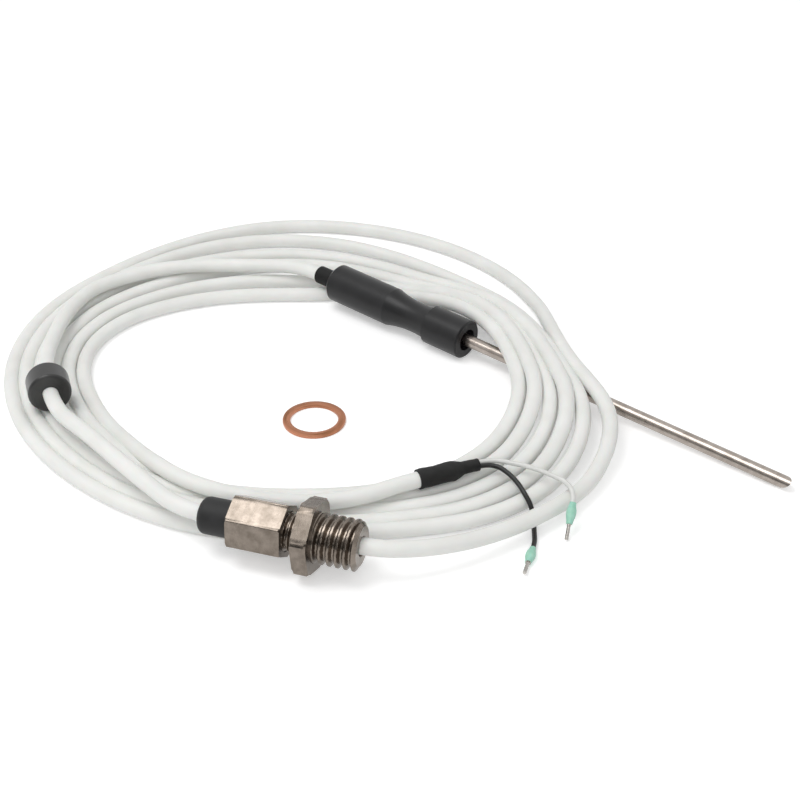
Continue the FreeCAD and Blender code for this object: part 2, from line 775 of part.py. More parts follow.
def make_run(label, diameter, points):
    """Round cord swept along a route."""
    path = route_wire(label, points)
    start = FreeCAD.Vector(*points[0])
    heading = FreeCAD.Vector(*points[1]) - start
    section = Part.Wire([Part.makeCircle(diameter / 2, start, heading)])
    run = doc.addObject("Part::Feature", label)
    run.Shape = path.makePipeShell([section], True, False)
    expected = math.pi * diameter ** 2 / 4 * path.Length
    if abs(run.Shape.Volume / expected - 1) > 0.01:
        raise RuntimeError(f"{label} sweeps the wrong volume")
    print(label, "length", round(path.Length, 1))
    keep(label, run, FreeCAD.Placement())


def make_runs():
    cord = size("cord_diameter")
    grip = size("cord_grip")
    sleeve_end = -size("grip_length") - size("sleeve_reach")
    stud_end = number(STUD_END)
    straight = size("stop_straight")
    make_run("probe_cable", cord, [
        on_axis(PROBE, sleeve_end + grip), on_axis(PROBE, sleeve_end - size("sleeve_exit")), *GRIP_RUN,
        on_axis(STOP, -straight), on_axis(STOP, straight), *BOOT_RUN,
        on_axis(GLAND, -size("boot_exit")), on_axis(GLAND, grip),
    ])
    make_run("cable_from_stud", cord, [
        on_axis(GLAND, stud_end - grip), on_axis(GLAND, stud_end + size("stud_exit")), *STUD_RUN,
    ])
    make_run("cable_at_splitter", cord, [on_axis(SPLITTER, grip), on_axis(SPLITTER, -grip), *SPLIT_RUN])

    lead = size("lead_diameter")
    exit_end = size("splitter_length")
    seat = size("lead_seat")
    bite = size("ferrule_bite")
    for colour, sign, middle in (("black", -1, BLACK_RUN), ("white", 1, WHITE_RUN)):
        side = sign * size("lead_spacing") / 2
        make_run(f"{colour}_lead", lead, [
            on_axis(SPLITTER, exit_end - seat, side),
            on_axis(SPLITTER, exit_end + size("lead_exit"), side),
            *middle,
            on_axis(FERRULES[colour], -size("lead_approach")),
            on_axis(FERRULES[colour], bite),
        ])


def check_document():
    """Stop if anything failed to build, or if a cut took nothing away."""
    for item in doc.Objects:
        if "Invalid" in item.State or "Error" in item.State:
            raise RuntimeError(f"{item.Label} failed: {item.State}")
        if item.TypeId in ("PartDesign::Pocket", "PartDesign::Groove"):
            if item.Shape.Volume > item.BaseFeature.Shape.Volume - 1e-6:
                raise RuntimeError(f"{item.Label} cuts nothing")
    for label, item in parts.items():
        if item.Shape.isNull() or not item.Shape.isValid():
            raise RuntimeError(f"{label} has no valid shape")


def main():
    make_spike()
    make_conductors()
    make_grip()
    make_gland_body()
    make_clamp_cap()
    make_gland_inside()
    make_washer()
    make_coil()
    make_stop()
    make_splitter()
    for colour in FERRULES:
        make_ferrule(colour)
    doc.recompute()
    make_runs()
    doc.recompute()
    check_document()
    os.makedirs("parts", exist_ok=True)
    for label, item in parts.items():
        item.Shape.exportStep(f"parts/{label}.step")


main()
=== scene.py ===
"""Looks of an oven meat probe: spike and grip, wall gland, washer, coiled cable and crimped leads.

All lengths are in metres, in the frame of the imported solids: +X runs along the spike to its point and
the floor is Z = 0. The sizes below are written in millimetres and turned to metres by MM.
"""

import logging
import math
from dataclasses import dataclass, field
from enum import Enum
from typing import Callable, Optional, Sequence

import bmesh
import bpy
from mathutils import Euler, Matrix, Vector


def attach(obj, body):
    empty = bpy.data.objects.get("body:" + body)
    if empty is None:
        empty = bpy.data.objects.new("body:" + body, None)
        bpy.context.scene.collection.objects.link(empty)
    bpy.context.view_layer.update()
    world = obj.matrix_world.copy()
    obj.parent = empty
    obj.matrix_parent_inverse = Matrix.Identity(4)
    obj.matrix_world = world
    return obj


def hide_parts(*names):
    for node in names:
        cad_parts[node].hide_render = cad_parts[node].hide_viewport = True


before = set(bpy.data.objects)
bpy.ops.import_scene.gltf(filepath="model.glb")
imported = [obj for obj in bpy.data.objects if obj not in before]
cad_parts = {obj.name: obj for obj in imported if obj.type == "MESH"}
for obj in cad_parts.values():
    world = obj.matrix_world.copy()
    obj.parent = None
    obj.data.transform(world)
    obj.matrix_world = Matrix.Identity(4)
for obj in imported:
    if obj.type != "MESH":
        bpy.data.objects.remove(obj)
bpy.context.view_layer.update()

MM = 0.001
Point = tuple[float, float, float]
Colour = tuple[float, float, float]
Profile = list[tuple[float, float]]
log = logging.getLogger("meat_probe")


class Body(str, Enum):
    """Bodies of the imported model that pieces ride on."""

    PROBE = "probe_and_cable"
    CAP = "cap"


class FarEnd(str, Enum):
    """What a cord ends in."""

    OBJECT = "object"
    FITTING = "fitting"


class Lay(str, Enum):
    """How a cord lies."""

    LOOSE = "loose"
    COILED = "coiled"


class Stiffness(str, Enum):
    """How a cord bends."""

    MEDIUM = "medium"
    LIMP = "limp"


# Shader tools


class Graph:
    """Adds nodes to one node tree and links them."""

    def __init__(self, tree: bpy.types.NodeTree) -> None:
        """Keeps the tree.

        Args:
            tree: Node tree of a material, world or group.
        """
        self.tree = tree

    def add(self, kind: str, **values: object) -> bpy.types.Node:
        """Adds a node and sets its properties and unlinked inputs.

        Args:
            kind: Blender's type name of the node.
            values: Properties of the node, or inputs, with spaces of their names written as _.

        Returns:
            The node.
        """
        node = self.tree.nodes.new(kind)
        sockets = {socket.name.replace(" ", "_"): socket for socket in reversed(node.inputs)}
        for name, value in values.items():
            if name in sockets:
                sockets[name].default_value = value
            else:
                setattr(node, name, value)
        return node

    def link(self, source: bpy.types.NodeSocket, target: bpy.types.NodeSocket) -> None:
        """Joins an output to an input."""
        self.tree.links.new(source, target)

    def ramp(self, stops: Sequence[tuple[float, Colour]], source: bpy.types.NodeSocket) -> bpy.types.NodeSocket:
        """Colours that follow a value.

        Args:
            stops: Places from 0 to 1 and their colours.
            source: The value.

        Returns:
            The colour output.
        """
        node = self.add("ShaderNodeValToRGB")
        elements = node.color_ramp.elements
        while len(elements) < len(stops):
            elements.new(0.5)
        for element, (place, colour) in zip(elements, stops):
            element.position = place
            element.color = (*colour, 1.0)
        self.link(source, node.inputs["Fac"])
        return node.outputs["Color"]

    def spread(self, source: bpy.types.NodeSocket, low: float, high: float) -> bpy.types.NodeSocket:
        """A value from 0 to 1 spread between two others.

        Args:
            source: The value.
            low: What 0 becomes.
            high: What 1 becomes.

        Returns:
            The value output.
        """
        node = self.add("ShaderNodeMapRange", To_Min=low, To_Max=high)
        self.link(source, node.inputs["Value"])
        return node.outputs["Result"]


class EffectGroups:
    """Shader node groups that several finishes share, each built once."""

    _made: dict[str, bpy.types.NodeTree] = {}

    @classmethod
    def _group(cls, name: str, inputs: dict[str, float], outputs: Sequence[str]) -> tuple[Graph, bool]:
        """Opens a group, new or made before.

        Args:
            name: Name of the group.
            inputs: Its value inputs and their defaults, besides Vector.
            outputs: Its value outputs.

        Returns:
            The group's graph, and whether it is new and still has to be filled.
        """
        if name in cls._made:
            return Graph(cls._made[name]), False
        tree = bpy.data.node_groups.new(name, "ShaderNodeTree")
        tree.interface.new_socket("Vector", in_out="INPUT", socket_type="NodeSocketVector")
        for label, value in inputs.items():
            socket = tree.interface.new_socket(label, in_out="INPUT", socket_type="NodeSocketFloat")
            socket.default_value = value
        for label in outputs:
            tree.interface.new_socket(label, in_out="OUTPUT", socket_type="NodeSocketFloat")
        cls._made[name] = tree
        return Graph(tree), True

    @classmethod
    def grain(cls) -> bpy.types.NodeTree:
        """Fine moulded grain: a height and a slow mottle, both from 0 to 1."""
        scales = {"Grain Scale": 3000.0, "Mottle Scale": 120.0}
        graph, new = cls._group("surface_grain", scales, ("Height", "Mottle"))
        if new:
            ins = graph.add("NodeGroupInput")
            outs = graph.add("NodeGroupOutput")
            for source, target, detail in (("Grain Scale", "Height", 3.0), ("Mottle Scale", "Mottle", 2.0)):
                noise = graph.add("ShaderNodeTexNoise", Detail=detail, Roughness=0.6)
                graph.link(ins.outputs["Vector"], noise.inputs["Vector"])
                graph.link(ins.outputs[source], noise.inputs["Scale"])
                graph.link(noise.outputs["Fac"], outs.inputs[target])
        return graph.tree

    @classmethod
    def drawn_lines(cls) -> bpy.types.NodeTree:
        """Lines left by drawing or turning, long along the local X axis or across it."""
        graph, new = cls._group("tool_lines", {"Along": 8.0, "Across": 2500.0}, ("Lines", "Stain"))
        if new:
            ins = graph.add("NodeGroupInput")
            outs = graph.add("NodeGroupOutput")
            shape = graph.add("ShaderNodeCombineXYZ")
            graph.link(ins.outputs["Along"], shape.inputs["X"])
            graph.link(ins.outputs["Across"], shape.inputs["Y"])
            graph.link(ins.outputs["Across"], shape.inputs["Z"])
            stretch = graph.add("ShaderNodeVectorMath", operation="MULTIPLY")
            graph.link(ins.outputs["Vector"], stretch.inputs[0])
            graph.link(shape.outputs["Vector"], stretch.inputs[1])
            lines = graph.add("ShaderNodeTexNoise", Scale=1.0, Detail=2.0)
            graph.link(stretch.outputs["Vector"], lines.inputs["Vector"])
            graph.link(lines.outputs["Fac"], outs.inputs["Lines"])
            stain = graph.add("ShaderNodeTexNoise", Scale=260.0, Detail=4.0, Roughness=0.65)
            graph.link(ins.outputs["Vector"], stain.inputs["Vector"])
            graph.link(stain.outputs["Fac"], outs.inputs["Stain"])
        return graph.tree


# Finishes


@dataclass(frozen=True)
class Finish:
    """A surface: a name, the colour range of its mottle, its gloss range and its grain."""

    name: str
    dark: Colour
    light: Colour
    rough: tuple[float, float]
    grain_scale: float = 3000.0
    mottle_scale: float = 120.0
    bump: float = 0.15
    bump_depth: float = 0.00002
    metallic: float = 0.0
    subsurface: float = 0.0
    specular: float = 0.5

    def material(self) -> bpy.types.Material:
        """The finish as a material, made on first use.

        Returns:
            The material.
        """
        made = bpy.data.materials.get(f"{self.name}_finish")
        if made:
            return made
        made = bpy.data.materials.new(f"{self.name}_finish")
        made.use_nodes = True
        made.diffuse_color = (*self.light, 1.0)
        graph = Graph(made.node_tree)
        shader = made.node_tree.nodes["Principled BSDF"]
        shader.inputs["Metallic"].default_value = self.metallic
        shader.inputs["Subsurface Weight"].default_value = self.subsurface
        shader.inputs["Subsurface Scale"].default_value = 0.001
        shader.inputs["Specular IOR Level"].default_value = self.specular
        self.dress(graph, shader)
        return made

    def dress(self, graph: Graph, shader: bpy.types.Node) -> None:
        """Moulded or extruded surface: mottled colour and gloss, fine grain.

        Args:
            graph: Graph of the material.
            shader: Its shader.
        """
        place = graph.add("ShaderNodeTexCoord")
        grain = graph.add("ShaderNodeGroup", node_tree=EffectGroups.grain())
        grain.inputs["Grain Scale"].default_value = self.grain_scale
        grain.inputs["Mottle Scale"].default_value = self.mottle_scale
        graph.link(place.outputs["Object"], grain.inputs["Vector"])
        colour = graph.ramp(((0.3, self.dark), (0.7, self.light)), grain.outputs["Mottle"])
        graph.link(colour, shader.inputs["Base Color"])
        graph.link(graph.spread(grain.outputs["Mottle"], *self.rough), shader.inputs["Roughness"])
        self.bumps(graph, shader, grain.outputs["Height"])

    def bumps(self, graph: Graph, shader: bpy.types.Node, height: bpy.types.NodeSocket) -> None:
        """Raises the surface by a height.

        Args:
            graph: Graph of the material.
            shader: Its shader.
            height: Height from 0 to 1.
        """
        bump = graph.add("ShaderNodeBump", Strength=self.bump, Distance=self.bump_depth)
        graph.link(height, bump.inputs["Height"])
        graph.link(bump.outputs["Normal"], shader.inputs["Normal"])


@dataclass(frozen=True)
class MetalFinish(Finish):
    """Metal with tool lines and stains; its lines run straight, or in rings round the local Z axis."""

    metallic: float = 1.0
    along: float = 8.0
    across: float = 2500.0
    rings: bool = False
    ring_drift: float = 0.2

    def dress(self, graph: Graph, shader: bpy.types.Node) -> None:
        """Drawn or turned metal: lines in the gloss and the relief, stains in the colour.

        Args:
            graph: Graph of the material.
            shader: Its shader.
        """
        place = graph.add("ShaderNodeTexCoord").outputs["Object"]
        lines = graph.add("ShaderNodeGroup", node_tree=EffectGroups.drawn_lines())
        lines.inputs["Along"].default_value = self.along
        lines.inputs["Across"].default_value = self.across
        if self.rings:
            reach = graph.add("ShaderNodeVectorMath", operation="LENGTH")
            graph.link(place, reach.inputs[0])
            ringed = graph.add("ShaderNodeCombineXYZ")
            graph.link(reach.outputs["Value"], ringed.inputs["X"])
            split = graph.add("ShaderNodeSeparateXYZ")
            graph.link(place, split.inputs["Vector"])
            flat = graph.add("ShaderNodeMath", operation="MULTIPLY")
            flat.inputs[1].default_value = self.ring_drift
            graph.link(split.outputs["Y"], flat.inputs[0])
            graph.link(flat.outputs[0], ringed.inputs["Y"])
            place = ringed.outputs["Vector"]
        graph.link(place, lines.inputs["Vector"])
        colour = graph.ramp(((0.35, self.dark), (0.62, self.light)), lines.outputs["Stain"])
        graph.link(colour, shader.inputs["Base Color"])
        graph.link(graph.spread(lines.outputs["Lines"], *self.rough), shader.inputs["Roughness"])
        self.bumps(graph, shader, lines.outputs["Lines"])


SILICONE = Finish(
    "silicone_jacket", (0.79, 0.795, 0.765), (0.85, 0.853, 0.83), (0.40, 0.52), grain_scale=2200.0,
    mottle_scale=90.0, bump=0.10, subsurface=0.08, specular=0.4)
WHITE_LEAD = Finish(
    "white_lead_skin", (0.66, 0.665, 0.64), (0.74, 0.742, 0.72), (0.34, 0.46), grain_scale=4000.0,
    mottle_scale=300.0, bump=0.08)
BLACK_LEAD = Finish(
    "black_lead_skin", (0.004, 0.004, 0.004), (0.009, 0.009, 0.009), (0.34, 0.46), grain_scale=4000.0,
    mottle_scale=300.0, bump=0.1)
GRIP_PLASTIC = Finish(
    "grip_plastic", (0.010, 0.010, 0.0105), (0.017, 0.017, 0.018), (0.32, 0.44), grain_scale=2600.0,
    mottle_scale=140.0, bump=0.30, bump_depth=0.00003, specular=0.32)
BLACK_RUBBER = Finish(
    "black_rubber", (0.010, 0.010, 0.010), (0.019, 0.019, 0.020), (0.52, 0.68), grain_scale=2400.0,
    mottle_scale=200.0, bump=0.35, bump_depth=0.00003, specular=0.4)
SLEEVE_RUBBER = Finish(
    "sleeve_rubber", (0.002, 0.002, 0.002), (0.005, 0.005, 0.005), (0.55, 0.7), grain_scale=2400.0,
    mottle_scale=200.0, bump=0.35, bump_depth=0.00003, specular=0.3)
STOP_RUBBER = Finish(
    "stop_rubber", (0.018, 0.018, 0.0175), (0.032, 0.032, 0.031), (0.28, 0.40), grain_scale=2200.0,
    mottle_scale=160.0, bump=0.35, bump_depth=0.00003, specular=0.5)
SHRINK_FILM = Finish(
    "shrink_film", (0.005, 0.005, 0.005), (0.012, 0.012, 0.0115), (0.55, 0.72), grain_scale=1500.0,
    mottle_scale=260.0, bump=0.5, bump_depth=0.00004, specular=0.35)
MINT_PLASTIC = Finish(
    "mint_plastic", (0.27, 0.56, 0.43), (0.38, 0.68, 0.55), (0.34, 0.46), grain_scale=3000.0,
    mottle_scale=400.0, bump=0.1, subsurface=0.1)
SENSOR_BEAD = Finish(
    "sensor_bead", (0.30, 0.20, 0.12), (0.42, 0.30, 0.18), (0.3, 0.4), grain_scale=3000.0, mottle_scale=500.0)
DRAWN_STEEL = MetalFinish(
    "drawn_steel", (0.30, 0.26, 0.23), (0.42, 0.375, 0.34), (0.20, 0.36), bump=0.06, along=12.0, across=3000.0)
PLATED_BRASS = MetalFinish(
    "plated_brass", (0.150, 0.126, 0.104), (0.235, 0.201, 0.171), (0.20, 0.32), bump=0.08, along=1600.0, across=60.0)
TURNED_COPPER = MetalFinish(
    "turned_copper", (0.25, 0.105, 0.046), (0.60, 0.265, 0.165), (0.22, 0.40), bump=0.15, along=900.0, across=900.0,
    rings=True)
TINNED_COPPER = MetalFinish(
    "tinned_copper", (0.34, 0.32, 0.30), (0.52, 0.50, 0.47), (0.24, 0.42), bump=0.1, along=600.0, across=3000.0)


# Mesh tools


@dataclass(frozen=True)
class Seat:
    """Place of a sub-assembly: origin in millimetres, turn round Z and dip below level, in degrees."""

    origin: Point
    turn: float = 0.0
    dip: float = 0.0

    def matrix(self) -> Matrix:
        """The seat as a matrix, in metres."""
        turned = Euler((0.0, math.radians(self.dip), math.radians(self.turn)), "XYZ").to_matrix().to_4x4()
        return Matrix.Translation(Vector(self.origin) * MM) @ turned

    def point(self, along: float, side: float = 0.0) -> Point:
        """A place on or beside the axis.

        Args:
            along: Distance along the local X axis, mm.
            side: Distance along the local Y axis, mm.

        Returns:
            The place in the row frame, mm.
        """
        return tuple(self.matrix() @ Vector((along * MM, side * MM, 0.0)) / MM)


Shaper = Callable[[float, float, float], float]


class Turned:
    """Makes meshes of revolution round the local X axis, which a shaper may press out of round."""

    @staticmethod
    def rounded(profile: Profile, radius: float, closed: bool = True) -> Profile:
        """Breaks the corners of a profile.

        Args:
            profile: Places along the axis and distances from it, mm.
            radius: Length that is taken off each side of a corner, mm.
            closed: Whether the profile is a ring of places.

        Returns:
            The profile with each corner broken in three.
        """
        out: Profile = []
        last = len(profile) - 1
        for k, corner in enumerate(profile):
            if not closed and k in (0, last):
                out.append(corner)
                continue
            here = Vector(corner)
            before = Vector(profile[k - 1]) - here
            after = Vector(profile[(k + 1) % len(profile)]) - here
            cut = min(radius, 0.4 * before.length, 0.4 * after.length)
            a, b = here + before.normalized() * cut, here + after.normalized() * cut
            out += [tuple(a), tuple((a + b) * 0.25 + here * 0.5), tuple(b)]
        return out

    @staticmethod
    def mesh(name: str, profile: Profile, sides: int = 96, closed: bool = True,
             shaper: Optional[Shaper] = None) -> bpy.types.Mesh:
        """Turns a profile.

        Args:
            name: Name of the mesh.
            profile: Places along the axis and distances from it, mm.
            sides: Steps round the axis.
            closed: Whether the profile is a ring; if not, its first and last rings are filled.
            shaper: Gives the distance from the axis for a place, a distance and an angle.

        Returns:
            The mesh, in metres.
        """
        built = bmesh.new()
        rings = []
        for along, out in profile:
            ring = []
            for k in range(sides):
                angle = 2 * math.pi * k / sides
                reach = shaper(along, out, angle) if shaper else out
                spot = (along * MM, reach * MM * math.sin(angle), reach * MM * math.cos(angle))
                ring.append(built.verts.new(spot))
            rings.append(ring)
        pairs = list(zip(rings, rings[1:] + rings[:1])) if closed else list(zip(rings, rings[1:]))
        for one, two in pairs:
            for k in range(sides):
                built.faces.new((one[k], one[(k + 1) % sides], two[(k + 1) % sides], two[k]))
        if not closed:
            built.faces.new(rings[0])
            built.faces.new(rings[-1])
        bmesh.ops.recalc_face_normals(built, faces=built.faces)
        made = bpy.data.meshes.new(name)
        built.to_mesh(made)
        built.free()
        return made


def place(name: str, mesh: bpy.types.Mesh, seat: Seat, finish: Finish, body: Body, slot: str,
          stands_for: Sequence[str], crease: float = 32.0) -> bpy.types.Object:
    """Puts a mesh in the scene as a piece.

    Args:
        name: Name of the piece.
        mesh: Its mesh, in the seat's coordinates.
        seat: Where it sits.
        finish: Its finish.
        body: Body that it rides on.
        slot: Not used.
        stands_for: Solids that it replaces.
        crease: Angle above which an edge stays sharp, degrees.

    Returns:
        The piece.
    """
    for face in mesh.polygons:
        face.use_smooth = True
    mesh.set_sharp_from_angle(angle=math.radians(crease))
    piece = bpy.data.objects.new(name, mesh)
    bpy.context.scene.collection.objects.link(piece)
    piece.matrix_world = seat.matrix()
    piece.data.materials.append(finish.material())
    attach(piece, body.value)
    if stands_for:
        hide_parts(*stands_for)
    log.info("piece %s stands for %s", name, ", ".join(stands_for) or "nothing")
    return piece


def dress_solid(node: str, finish: Finish) -> bpy.types.Object:
    """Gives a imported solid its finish.

    Args:
        node: Name of the solid.
        finish: Its finish.

    Returns:
        The solid's object.
    """
    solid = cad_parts[node]
    solid.data.materials.clear()
    solid.data.materials.append(finish.material())
    log.info("solid %s wears %s", node, finish.name)
    return solid


# Seats that the sub-assemblies share

PROBE_SEAT = Seat((-26.5, 61.6, 6.4953), 0.0, 2.184)
GLAND_SEAT = Seat((-22.0, -63.6, 10.8346), 21.5)
STOP_SEAT = Seat((-103.4, -49.2, 11.8), -33.0)
SPLITTER_SEAT = Seat((11.4, -11.5, 8.4), 62.5)
BLACK_SEAT = Seat((49.7, -8.9, 1.35), -67.0)
WHITE_SEAT = Seat((50.7, 8.6, 7.3), -65.8, 36.6)
WASHER_SEAT = Seat((-39.8, 1.2, 0.0))


@dataclass
class Cord:
    """A free cord as one smooth curve."""

    name: str
    points: list[Point]
    diameter: float
    finish: Finish
    slot: str
    exit: Point
    length: float
    far_end: FarEnd
    lay: Lay
    stands_for: tuple[str, ...]
    sides: int = 7
    stiffness: Stiffness = Stiffness.MEDIUM

    def build(self) -> bpy.types.Object:
        """Draws the cord through its points, which are its control points, and lets it ride.

        Returns:
            The cord's curve.
        """
        curve = bpy.data.curves.new(self.name, "CURVE")
        curve.dimensions = "3D"
        spline = curve.splines.new("NURBS")
        spline.points.add(len(self.points) - 1)
        for spot, (x, y, z) in zip(spline.points, self.points):
            spot.co = (x * MM, y * MM, z * MM, 1.0)
        spline.order_u = 3
        spline.use_endpoint_u = True
        spline.resolution_u = 7
        curve.bevel_depth = self.diameter * MM / 2
        curve.bevel_resolution = self.sides
        curve.use_fill_caps = True
        curve.materials.append(self.finish.material())
        piece = bpy.data.objects.new(self.name, curve)
        bpy.context.scene.collection.objects.link(piece)
        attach(piece, Body.PROBE.value)
        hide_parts(*self.stands_for)
        log.info("cord %s has %d points", self.name, len(self.points))
        return piece

    def declare(self, piece: bpy.types.Object, on_it: Sequence[bpy.types.Object]) -> None:
        """Does nothing with the cord.

        Args:
            piece: The cord's curve; not used.
            on_it: Pieces on the cord; not used.
        """


@dataclass
class CoilRoute:
    """Route of the long cable: out of the stud, six laps inwards, and up to the splitter sleeve.

    A spoke gives the distance of each lap from the coil's middle, outermost lap first, at one angle that
    is counted from the side of the leads.
    """

    middle: tuple[float, float] = (-68.7, 21.6)
    turn: float = 39.3
    step: float = 15.0
    floor_height: float = 2.45
    spike_line: float = 61.6
    spike_tip: float = 91.5
    tip_height: float = 2.0
    spike_slope: float = 4.5 / 118.0
    lift: float = 4.8
    hump_behind: float = 46.0
    hump_before: float = 54.0
    hump_top: float = 6.0
    hump_from: float = -75.0
    hump_run: float = 45.0
    first: float = 36.0
    last: float = 2018.0
    stagger: tuple[float, ...] = (0.0, 0.0, 2.6, 0.0, 2.6, 0.0)
    spokes: tuple[tuple[float, tuple[float, ...]], ...] = (
        (36.0, (92.4, 75.0, 68.4, 64.0, 59.4, 54.4)),
        (48.0, (93.6, 75.6, 68.0, 62.6, 57.6, 52.2)),
        (62.0, (94.8, 77.4, 68.6, 62.0, 55.0, 49.2)),
        (80.0, (96.0, 81.6, 70.6, 63.4, 51.2, 42.6)),
        (100.0, (96.0, 85.0, 72.9, 65.0, 52.8, 42.6)),
        (118.0, (92.4, 85.6, 75.4, 66.4, 56.8, 46.4)),
        (137.0, (89.0, 83.8, 78.0, 70.2, 62.2, 53.4)),
        (158.0, (90.2, 85.4, 80.6, 75.2, 69.4, 63.0)),
        (177.0, (90.2, 85.7, 81.2, 76.7, 72.2, 67.2)),
        (202.0, (88.8, 84.3, 79.8, 75.3, 70.7, 65.8)),
        (226.0, (88.4, 84.0, 79.7, 75.4, 71.1, 66.8)),
        (241.0, (90.0, 85.8, 81.7, 77.7, 73.7, 69.3)),
        (252.0, (91.6, 87.5, 83.4, 79.3, 75.3)),
        (264.0, (93.3, 88.9, 84.6, 80.2, 75.9)),
        (278.0, (93.4, 89.3, 85.1, 80.9, 76.8)),
        (291.0, (98.0, 93.4, 88.8, 84.2, 79.6)),
        (302.0, (104.2, 98.5, 92.8, 87.1, 81.4)),
        (314.0, (107.8, 101.5, 95.2, 88.9, 82.6)),
        (326.0, (106.4, 100.4, 94.4, 88.4, 82.4)),
        (336.0, (101.4, 96.0, 90.7, 85.3, 80.0)),
        (346.0, (91.4, 87.3, 83.2, 79.1, 75.0)),
        (356.0, (82.6, 79.2, 75.9, 72.6, 69.3)),
        (367.0, (79.2, 75.7, 72.3, 68.8, 65.2)),
        (380.0, (76.4, 71.9, 67.9, 63.7, 59.6)),
    )
    out_of_stud: tuple[Point, ...] = (
        (16.2, -48.6, 10.8), (24.9, -45.0, 10.8), (31.8, -36.4, 9.2), (37.0, -26.8, 7.6), (40.6, -17.6, 6.4),
        (43.4, -8.2, 5.6), (45.4, 1.2, 5.0), (46.7, 10.6, 4.5), (47.2, 20.6, 4.2), (45.4, 31.0, 5.2),
        (42.4, 40.4, 7.4), (37.2, 48.8, 9.0), (29.8, 55.8, 9.7), (20.6, 61.4, 9.9), (11.6, 66.6, 10.0),
        (3.0, 73.4, 9.3), (-5.6, 81.8, 7.2), (-14.6, 91.2, 4.6), (-24.6, 100.6, 3.0),
    )
    to_splitter: tuple[Point, ...] = (
        (-66.6, -48.2, 4.4), (-55.6, -51.0, 6.2), (-43.8, -52.4, 7.0), (-32.2, -50.8, 7.2), (-21.4, -47.4, 7.3),
        (-11.6, -42.6, 7.5), (-3.0, -36.0, 7.7), (4.0, -27.7, 8.0), (9.1, -15.9, 8.4), (13.7, -7.1, 8.4),
    )

    def distance(self, angle: float) -> float:
        """Distance of the cable from the coil's middle.

        Args:
            angle: Angle along all the laps, degrees.

        Returns:
            The distance, mm, smooth through the spokes.
        """
        marks = [(place + 360.0 * lap, radii[lap])
                 for lap in range(6) for place, radii in self.spokes if lap < len(radii)]
        k = max(i for i, mark in enumerate(marks[:-1]) if mark[0] <= angle)
        (a, low), (b, high) = marks[k], marks[k + 1]
        before, after = marks[max(0, k - 1)], marks[min(len(marks) - 1, k + 2)]
        rise = (high - before[1]) / (b - before[0]) * (b - a)
        fall = (after[1] - low) / (after[0] - a) * (b - a)
        t = (angle - a) / (b - a)
        return (low * (2 * t ** 3 - 3 * t ** 2 + 1) + rise * (t ** 3 - 2 * t ** 2 + t)
                + high * (3 * t ** 2 - 2 * t ** 3) + fall * (t ** 3 - t ** 2))

    def height(self, x: float, y: float, lap: int) -> float:
        """Height of the cable's middle, on the floor and in a long hump over the spike.

        Args:
            x: Place along the spike, mm.
            y: Place across it, mm.
            lap: Number of the lap, because neighbours ride up on each other there.

        Returns:
            The height, mm.
        """
        away = y - self.spike_line
        reach = self.hump_behind if away > 0 else self.hump_before
        near = min(1.0, max(0.0, (reach - abs(away)) / (reach - self.hump_top)))
        ahead = min(1.0, max(0.0, (x - self.hump_from) / self.hump_run))
        share = near * near * (3 - 2 * near) * ahead * ahead * (3 - 2 * ahead)
        spike = self.tip_height + (self.spike_tip - x) * self.spike_slope
        top = spike + self.lift + self.stagger[lap]
        return self.floor_height + (top - self.floor_height) * share

    def points(self) -> list[Point]:
        """Control points from the stud to the splitter sleeve.

        Returns:
            The points, mm.
        """
        out = list(self.out_of_stud)
        swell = 1.0 / math.cos(math.radians(self.step / 2))
        angle = self.first
        while angle <= self.last:
            reach = self.distance(angle) * swell
            way = math.radians(angle + self.turn)
            x, y = self.middle[0] + reach * math.cos(way), self.middle[1] + reach * math.sin(way)
            lap = min(5, int((angle + 60.0) // 360.0))
            out.append((x, y, self.height(x, y, lap)))
            angle += self.step
        return out + list(self.to_splitter)


@dataclass
class SplitterSleeve:
    """Shrunk sleeve where the cable divides into its two leads."""

    diameter: float = 5.8
    neck: float = 3.8
    shoulder: float = 11.0
    taper: float = 3.0
    length: float = 18.9
    cable_hole: float = 2.3
    cable_depth: float = 5.0
    press: float = 0.07
    step: float = 0.35

    def crumple(self, along: float, out: float, angle: float) -> float:
        """Presses the film out of round, as it shrinks unevenly.

        Args:
            along: Place along the sleeve, mm.
            out: Distance from the axis before pressing, mm.
            angle: Angle round the axis.

        Returns:
            The distance from the axis, mm.
        """
        waves = math.sin(2 * angle + 0.55 * along) + 0.6 * math.sin(3 * angle - 0.9 * along + 1.0)
        ridge = 0.5 * math.sin(5 * angle + 1.7 * along + 2.0) * math.sin(0.8 * along)
        if out < 0.8 * self.neck / 2:
            return out
        return out + self.press * (waves + ridge) * min(1.0, along / 2.0 + 0.3)

    def build(self) -> bpy.types.Object:
        """Turns the sleeve and dresses it.

        Returns:
            The sleeve.
        """
        big, small = self.diameter / 2, self.neck / 2
        outline = [(0.0, self.cable_hole), (0.0, big), (self.shoulder, big),
                   (self.shoulder + self.taper, small), (self.length, small), (self.length, 0.15)]
        fine: Profile = []
        for (a, low), (b, high) in zip(outline, outline[1:]):
            steps = max(1, round(abs(b - a) / self.step))
            fine += [(a + (b - a) * k / steps, low + (high - low) * k / steps) for k in range(steps)]
        fine.append(outline[-1])
        fine += [(self.length - 1.0, 0.1), (self.cable_depth, 0.1), (self.cable_depth, self.cable_hole)]
        mesh = Turned.mesh("splitter_film", fine, 72, shaper=self.crumple)
        return place("splitter_film", mesh, SPLITTER_SEAT, SHRINK_FILM, Body.PROBE, "splitter_film",
                     ("splitter_sleeve",), 50.0)


